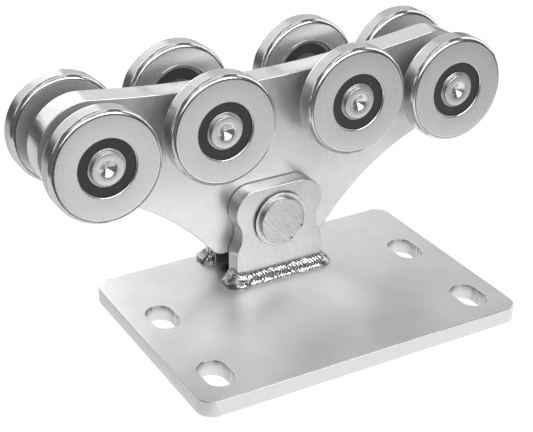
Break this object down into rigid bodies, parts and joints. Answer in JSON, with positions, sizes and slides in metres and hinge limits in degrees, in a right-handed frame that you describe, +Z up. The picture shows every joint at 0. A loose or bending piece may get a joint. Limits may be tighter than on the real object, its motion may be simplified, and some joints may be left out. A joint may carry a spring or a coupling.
{
  "type": "c-rail trolley",
  "caption": "Steel trolley for a C rail: a carrier plate with ball-bearing wheels on both sides tilts on a pin between two ears welded to a slotted base plate.",
  "frame": {"origin": "centre of the four-slot bolt pattern, on the underside of the base plate", "axes": "+X across the base plate to its wide front side, +Y along the rail, +Z up from the base plate to the wheels"},
  "size_m": [0.1298, 0.2412, 0.124],
  "materials": {
    "plate_zinc": "zinc plated sheet, satin",
    "ear_zinc": "zinc plated, fine upright brushing",
    "carrier_zinc": "zinc plated, cut edges with fine ripple",
    "weld_bead": "zinc plated weld, rippled and shiny",
    "pin_steel": "zinc plated, turned",
    "spring_steel": "zinc plated spring steel",
    "axle_steel": "zinc plated, turned ends",
    "spacer_steel": "zinc plated, turned",
    "wheel_zinc": "zinc plated, turned faces and polished rims",
    "bearing_steel": "ground bearing steel",
    "ball_steel": "polished",
    "seal_rubber": "matt moulded rubber on a steel shield"
  },
  "bodies": {
    "base": {"base_plate": "plate_zinc", "ear_front": "ear_zinc", "ear_rear": "ear_zinc", "weld_front": "weld_bead", "weld_rear": "weld_bead", "pivot_pin": "pin_steel", "pin_snap_ring": "spring_steel"},
    "carriage": {"carrier_plate": "carrier_zinc", "axle_1": "axle_steel", "axle_2": "axle_steel", "axle_3": "axle_steel", "axle_4": "axle_steel", "spacer_front_1": "spacer_steel", "spacer_front_2": "spacer_steel", "spacer_front_3": "spacer_steel", "spacer_front_4": "spacer_steel", "spacer_rear_1": "spacer_steel", "spacer_rear_2": "spacer_steel", "spacer_rear_3": "spacer_steel", "spacer_rear_4": "spacer_steel", "bearing_inner_ring_front_1": "bearing_steel", "bearing_inner_ring_front_2": "bearing_steel", "bearing_inner_ring_front_3": "bearing_steel", "bearing_inner_ring_front_4": "bearing_steel", "bearing_inner_ring_rear_1": "bearing_steel", "bearing_inner_ring_rear_2": "bearing_steel", "bearing_inner_ring_rear_3": "bearing_steel", "bearing_inner_ring_rear_4": "bearing_steel"},
    "wheel_front_1": {"wheel_front_1": "wheel_zinc", "bearing_outer_ring_front_1": "bearing_steel", "bearing_seals_front_1": "seal_rubber", "bearing_balls_front_1": "ball_steel"},
    "wheel_front_2": {"wheel_front_2": "wheel_zinc", "bearing_outer_ring_front_2": "bearing_steel", "bearing_seals_front_2": "seal_rubber", "bearing_balls_front_2": "ball_steel"},
    "wheel_front_3": {"wheel_front_3": "wheel_zinc", "bearing_outer_ring_front_3": "bearing_steel", "bearing_seals_front_3": "seal_rubber", "bearing_balls_front_3": "ball_steel"},
    "wheel_front_4": {"wheel_front_4": "wheel_zinc", "bearing_outer_ring_front_4": "bearing_steel", "bearing_seals_front_4": "seal_rubber", "bearing_balls_front_4": "ball_steel"},
    "wheel_rear_1": {"wheel_rear_1": "wheel_zinc", "bearing_outer_ring_rear_1": "bearing_steel", "bearing_seals_rear_1": "seal_rubber", "bearing_balls_rear_1": "ball_steel"},
    "wheel_rear_2": {"wheel_rear_2": "wheel_zinc", "bearing_outer_ring_rear_2": "bearing_steel", "bearing_seals_rear_2": "seal_rubber", "bearing_balls_rear_2": "ball_steel"},
    "wheel_rear_3": {"wheel_rear_3": "wheel_zinc", "bearing_outer_ring_rear_3": "bearing_steel", "bearing_seals_rear_3": "seal_rubber", "bearing_balls_rear_3": "ball_steel"},
    "wheel_rear_4": {"wheel_rear_4": "wheel_zinc", "bearing_outer_ring_rear_4": "bearing_steel", "bearing_seals_rear_4": "seal_rubber", "bearing_balls_rear_4": "ball_steel"}
  },
  "joints": [
    {"name": "carriage_tilt", "type": "hinge", "parent": "base", "child": "carriage", "pos_m": [-0.053, 0, 0.0387], "axis": [1, 0, 0], "range_deg": [-32, 32]},
    {"name": "wheel_front_1_spin", "type": "hinge", "parent": "carriage", "child": "wheel_front_1", "pos_m": [-0.02935, -0.0936, 0.092], "axis": [1, 0, 0], "continuous": true},
    {"name": "wheel_front_2_spin", "type": "hinge", "parent": "carriage", "child": "wheel_front_2", "pos_m": [-0.02935, -0.0355, 0.097], "axis": [1, 0, 0], "continuous": true},
    {"name": "wheel_front_3_spin", "type": "hinge", "parent": "carriage", "child": "wheel_front_3", "pos_m": [-0.02935, 0.0355, 0.097], "axis": [1, 0, 0], "continuous": true},
    {"name": "wheel_front_4_spin", "type": "hinge", "parent": "carriage", "child": "wheel_front_4", "pos_m": [-0.02935, 0.0936, 0.092], "axis": [1, 0, 0], "continuous": true},
    {"name": "wheel_rear_1_spin", "type": "hinge", "parent": "carriage", "child": "wheel_rear_1", "pos_m": [-0.07665, -0.0936, 0.092], "axis": [1, 0, 0], "continuous": true},
    {"name": "wheel_rear_2_spin", "type": "hinge", "parent": "carriage", "child": "wheel_rear_2", "pos_m": [-0.07665, -0.0355, 0.097], "axis": [1, 0, 0], "continuous": true},
    {"name": "wheel_rear_3_spin", "type": "hinge", "parent": "carriage", "child": "wheel_rear_3", "pos_m": [-0.07665, 0.0355, 0.097], "axis": [1, 0, 0], "continuous": true},
    {"name": "wheel_rear_4_spin", "type": "hinge", "parent": "carriage", "child": "wheel_rear_4", "pos_m": [-0.07665, 0.0936, 0.092], "axis": [1, 0, 0], "continuous": true}
  ]
}
